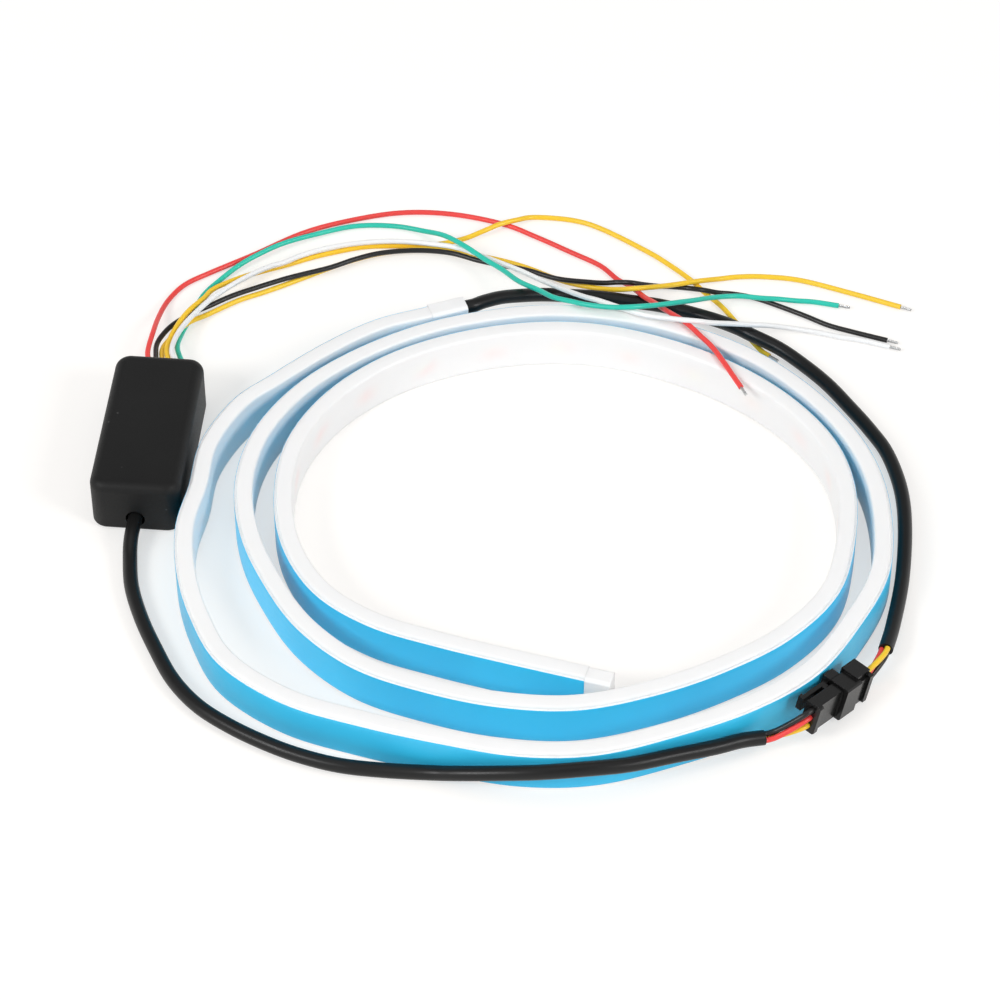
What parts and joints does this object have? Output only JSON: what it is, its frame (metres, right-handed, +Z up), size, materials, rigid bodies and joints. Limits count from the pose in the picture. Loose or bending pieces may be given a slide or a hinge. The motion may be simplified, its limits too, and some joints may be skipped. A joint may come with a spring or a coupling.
{
  "type": "led trunk light strip",
  "caption": "Flexible car light strip in a white silicone sleeve with a blue liner, coiled on its edge, with a black controller box, sheathed cables, a latched plug pair and bare leads.",
  "frame": {"origin": "On the floor, under the middle of the box round the coiled strip and the controller", "axes": "X runs to the right, from the controller to the plug pair. Y runs away from the viewer, to the leads. Z points up from the surface that the strip stands on."},
  "size_m": [0.2128, 0.2108, 0.0156],
  "materials": {
    "silicone": "satin translucent",
    "foam": "matt",
    "liner": "satin film",
    "box_plastic": "soft matt",
    "jacket": "semi-gloss",
    "wire_red": "semi-gloss",
    "wire_green": "semi-gloss",
    "wire_white": "semi-gloss",
    "wire_black": "semi-gloss",
    "wire_yellow": "semi-gloss",
    "tinned": "tinned",
    "plug_plastic": "semi-gloss",
    "contact": "plated",
    "flex_board": "satin",
    "light_source": "lens with resin",
    "chip": "matt",
    "hard_board": "satin",
    "can": "satin"
  },
  "bodies": {
    "root": {"strip_sleeve": "silicone", "strip_board": "flex_board", "strip_lights": "light_source", "strip_driver_chips": "chip", "strip_resistors": "chip", "foam_tape": "foam", "release_liner": "liner", "cable_end_cap": "silicone", "tail_end_cap": "silicone", "controller_cover": "box_plastic", "controller_plate": "box_plastic", "controller_board": "hard_board", "controller_processor": "chip", "controller_switches": "chip", "controller_regulator": "chip", "controller_capacitor": "can", "controller_resistors": "chip", "inner_core_black": "wire_black", "inner_core_red": "wire_red", "inner_core_yellow": "wire_yellow", "lead_red": "wire_red", "lead_green": "wire_green", "lead_white": "wire_white", "lead_black": "wire_black", "lead_yellow_left": "wire_yellow", "lead_yellow_right": "wire_yellow", "tip_red": "tinned", "tip_green": "tinned", "tip_white": "tinned", "tip_black": "tinned", "tip_yellow_left": "tinned", "tip_yellow_right": "tinned", "cable_controller": "jacket", "cable_strip": "jacket", "plug_core_black": "wire_black", "plug_core_red": "wire_red", "plug_core_yellow": "wire_yellow", "socket_core_yellow": "wire_yellow", "socket_core_red": "wire_red", "socket_core_black": "wire_black", "plug_housing": "plug_plastic", "receptacle_housing": "plug_plastic", "female_contacts": "contact", "male_contacts": "contact"}
  },
  "joints": []
}
